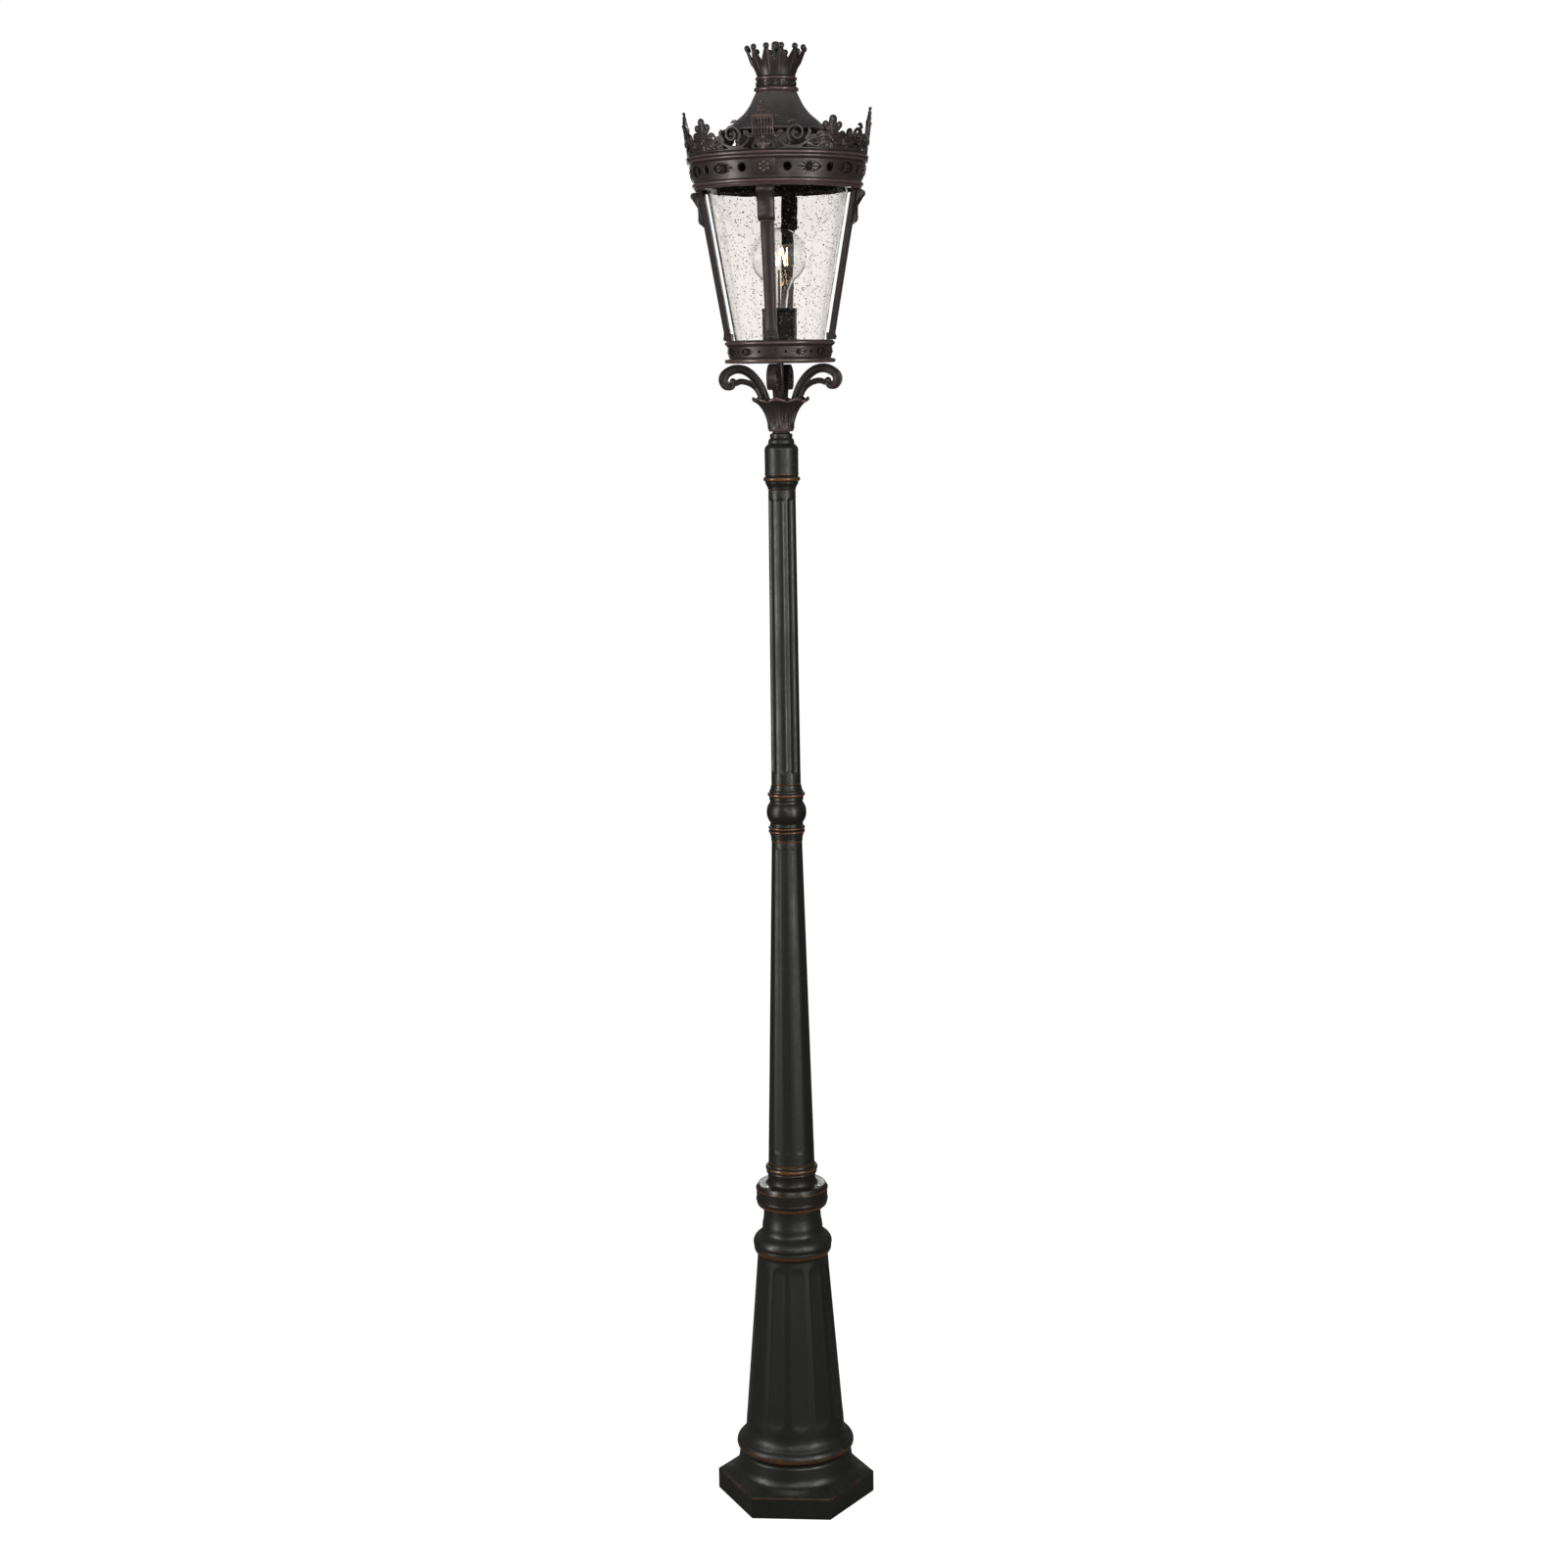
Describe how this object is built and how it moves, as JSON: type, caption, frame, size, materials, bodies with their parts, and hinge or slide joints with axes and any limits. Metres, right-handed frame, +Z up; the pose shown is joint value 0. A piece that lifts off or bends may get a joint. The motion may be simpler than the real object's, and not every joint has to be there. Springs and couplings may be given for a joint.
{
  "type": "post-mounted street lantern",
  "caption": "Street lantern on a cast post: fluted pedestal with a six-sided foot, tapered shafts and turned knop, crowned four-arm lantern with a conical glass shade.",
  "frame": {"origin": "on the ground, under the middle of the post", "axes": "+Z up the post; the lantern's front arm stands towards -Y and its right arm towards +X; the pedestal's door faces +Y"},
  "size_m": [0.4328, 0.4328, 3.41],
  "materials": {
    "lantern_bronze": "satin",
    "roof_paint": "satin",
    "post_paint": "satin",
    "rubbed_post_paint": "satin",
    "seeded_glass": "gloss",
    "clear_lamp_glass": "gloss",
    "lamp_metal": "satin",
    "lamp_filament": "satin",
    "black_enamel": "satin",
    "zinc_plate": "satin",
    "porcelain": "gloss",
    "cable_sheath": "satin",
    "insulating_board": "matte"
  },
  "bodies": {
    "post": {"pedestal": "post_paint", "anchor_bolt_1": "zinc_plate", "anchor_bolt_2": "zinc_plate", "anchor_bolt_3": "zinc_plate", "equipment_board": "insulating_board", "terminal_block": "insulating_board", "fuse_carrier": "black_enamel", "supply_cable": "cable_sheath", "shaft_flange": "post_paint", "flange_screw_1": "rubbed_post_paint", "flange_screw_2": "rubbed_post_paint", "flange_screw_3": "rubbed_post_paint", "lower_shaft": "post_paint", "shaft_knop": "rubbed_post_paint", "upper_shaft": "post_paint", "post_top": "rubbed_post_paint"},
    "door": {"service_door": "post_paint"},
    "lock": {"door_lock": "zinc_plate"},
    "lantern": {"post_fitter": "post_paint", "fitter_screw_1": "black_enamel", "fitter_screw_2": "black_enamel", "fitter_screw_3": "black_enamel", "leaf_cup": "lantern_bronze", "stem_tube": "lantern_bronze", "scroll_right": "lantern_bronze", "scroll_back": "lantern_bronze", "scroll_left": "lantern_bronze", "scroll_front": "lantern_bronze", "base_ring": "lantern_bronze", "floor_plate": "lantern_bronze", "stem_nut": "lamp_metal", "lampholder_cover": "black_enamel", "lampholder": "porcelain", "glass_shade": "seeded_glass", "arm_right": "lantern_bronze", "arm_back": "lantern_bronze", "arm_left": "lantern_bronze", "arm_front": "lantern_bronze", "arm_console_right": "lantern_bronze", "arm_console_back": "lantern_bronze", "arm_console_left": "lantern_bronze", "arm_console_front": "lantern_bronze", "cornice_ring": "lantern_bronze", "castle_badge_right": "lantern_bronze", "castle_badge_back": "lantern_bronze", "castle_badge_left": "lantern_bronze", "castle_badge_front": "lantern_bronze", "crest_panel_1": "lantern_bronze", "crest_panel_2": "lantern_bronze", "crest_panel_3": "lantern_bronze", "crest_panel_4": "lantern_bronze"},
    "lamp": {"lamp_cap": "lamp_metal", "lamp_glass": "clear_lamp_glass", "lamp_filament": "lamp_filament"},
    "roof_cap": {"roof": "roof_paint", "crown_band": "lantern_bronze", "crown": "lantern_bronze", "finial_rod": "zinc_plate"},
    "finial": {"finial_nut": "black_enamel"}
  },
  "joints": [
    {"name": "head_swivel", "type": "hinge", "parent": "post", "child": "lantern", "pos_m": [0, 0, 2.48], "axis": [0, 0, 1], "continuous": true},
    {"name": "roof_lift", "type": "slide", "parent": "lantern", "child": "roof_cap", "axis": [0, 0, 1], "range_m": [0, 0.12]},
    {"name": "finial_turn", "type": "hinge", "parent": "roof_cap", "child": "finial", "pos_m": [0, 0, 3.36], "axis": [0, 0, 1], "range_deg": [0, 720]},
    {"name": "lamp_turn", "type": "hinge", "parent": "lantern", "child": "lamp", "pos_m": [0, 0, 2.77], "axis": [0, 0, 1], "range_deg": [0, 1080]},
    {"name": "door_hinge", "type": "hinge", "parent": "post", "child": "door", "pos_m": [-0.04083, 0.09435, 0.38], "axis": [0.0376, -0.0868, 0.9955], "range_deg": [0, 100]},
    {"name": "door_lock_turn", "type": "hinge", "parent": "door", "child": "lock", "pos_m": [0, 0.1008, 0.38], "axis": [0, 0.9955, 0.0946], "range_deg": [0, 90]}
  ]
}
